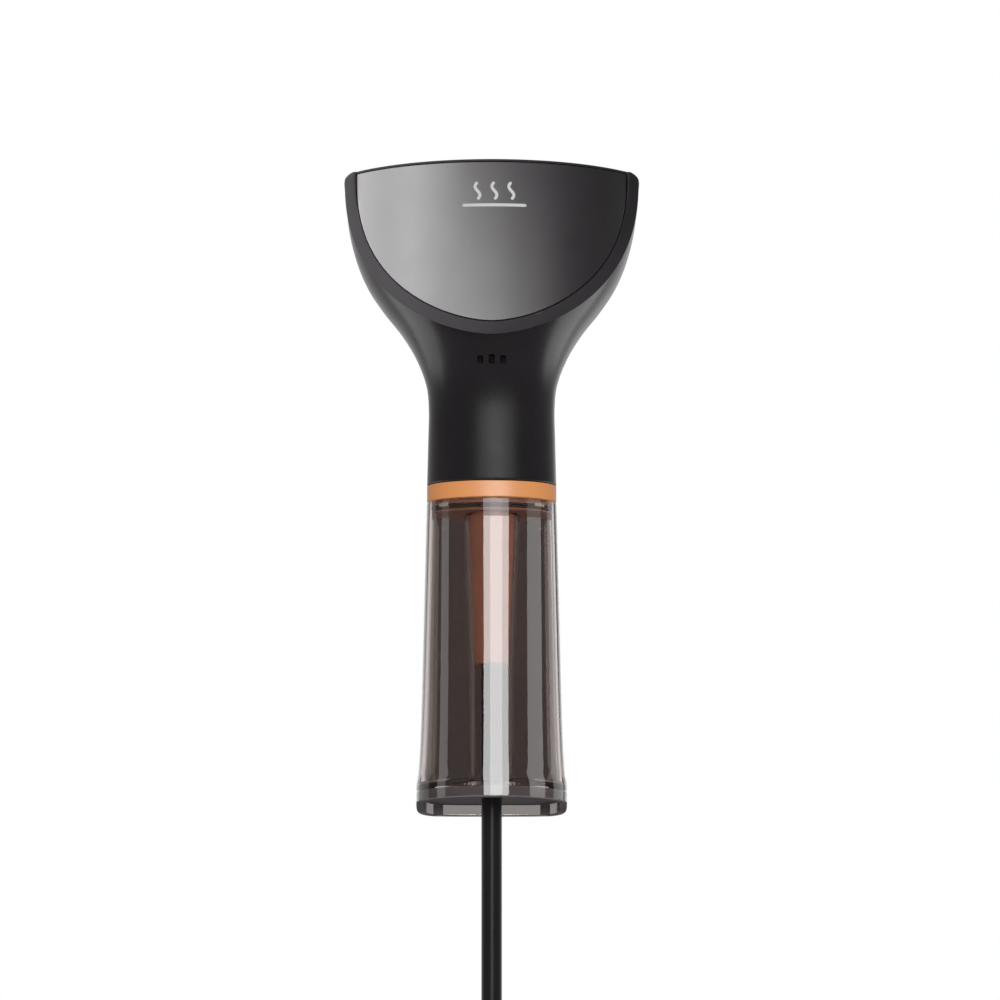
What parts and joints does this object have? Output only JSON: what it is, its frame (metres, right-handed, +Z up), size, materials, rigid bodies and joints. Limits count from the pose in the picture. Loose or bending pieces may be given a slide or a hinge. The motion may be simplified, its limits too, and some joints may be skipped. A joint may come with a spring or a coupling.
{
  "type": "garment steamer",
  "caption": "Hand-held garment steamer with a half-moon head, oval neck, push-on clear water tank, trigger, power button and a mains cord tied in a hank.",
  "frame": {"origin": "on the handle's long axis, at the narrowest part of the neck, where a hand holds it", "axes": "+Z up the handle to the head's flat top, +Y out of the steam plate, -Y the user's side with the glossy panel, +X across the head"},
  "size_m": [0.1092, 0.0721, 0.5816],
  "materials": {
    "satin_black": "satin",
    "gloss_black": "gloss",
    "orange_plastic": "satin",
    "orange_sleeve": "satin",
    "smoke_clear": "gloss",
    "black_rubber": "matte",
    "silicone": "matte",
    "plate_metal": "satin",
    "cast_aluminium": "matte",
    "steel": "brushed",
    "brass": "satin",
    "copper_winding": "satin",
    "circuit_board": "matte",
    "nylon": "matte",
    "mica": "matte",
    "light_guide": "gloss"
  },
  "bodies": {
    "root": {"main_housing": "satin_black", "neck_rear_cover": "satin_black", "head_rim": "satin_black", "front_panel": "gloss_black", "plate_bezel": "satin_black", "steam_plate": "plate_metal", "steam_chamber_block": "cast_aluminium", "chamber_gasket": "silicone", "heating_element": "steel", "element_terminal_left": "steel", "element_terminal_right": "steel", "thermostat": "brass", "thermal_fuse": "nylon", "chamber_inlet": "brass", "heat_shield": "mica", "pump_body": "nylon", "pump_coil": "copper_winding", "pump_mount_lower": "black_rubber", "pump_mount_upper": "black_rubber", "check_valve": "brass", "steam_feed_hose": "silicone", "control_board": "circuit_board", "indicator_light_guide": "light_guide", "mains_wire_left": "silicone", "mains_wire_right": "silicone", "heater_wire_left": "silicone", "heater_wire_right": "silicone", "trigger_microswitch": "black_rubber", "power_switch": "steel", "trigger_pin": "steel", "trigger_bracket": "nylon", "trigger_spring": "steel", "cover_screw_1": "steel", "cover_screw_2": "steel", "tank_ring": "orange_plastic", "tank_collar": "black_rubber", "tank_seal": "silicone", "cable_sleeve": "orange_sleeve", "pickup_hose": "silicone", "filter_weight": "steel", "mains_cord": "black_rubber", "cord_hank": "black_rubber", "cord_tie": "black_rubber", "plug_body": "black_rubber", "plug_pin_left": "steel", "plug_pin_right": "steel"},
    "tank": {"water_tank": "smoke_clear", "tank_tunnel": "smoke_clear"},
    "trigger": {"steam_trigger": "satin_black"},
    "button": {"power_button": "satin_black"}
  },
  "joints": [
    {"name": "tank_slide", "type": "slide", "parent": "root", "child": "tank", "axis": [0, 0, -1], "range_m": [0, 0.06]},
    {"name": "trigger_press", "type": "hinge", "parent": "root", "child": "trigger", "pos_m": [0, 0.0178, 0.029], "axis": [-1, 0, 0], "range_deg": [0, 8], "stiffness_Nm_per_rad": 0.4, "springref_deg": -2.86},
    {"name": "button_press", "type": "slide", "parent": "root", "child": "button", "axis": [0, -1, 0], "range_m": [0, 0.0015], "stiffness_N_per_m": 800, "springref_m": -0.0005}
  ]
}
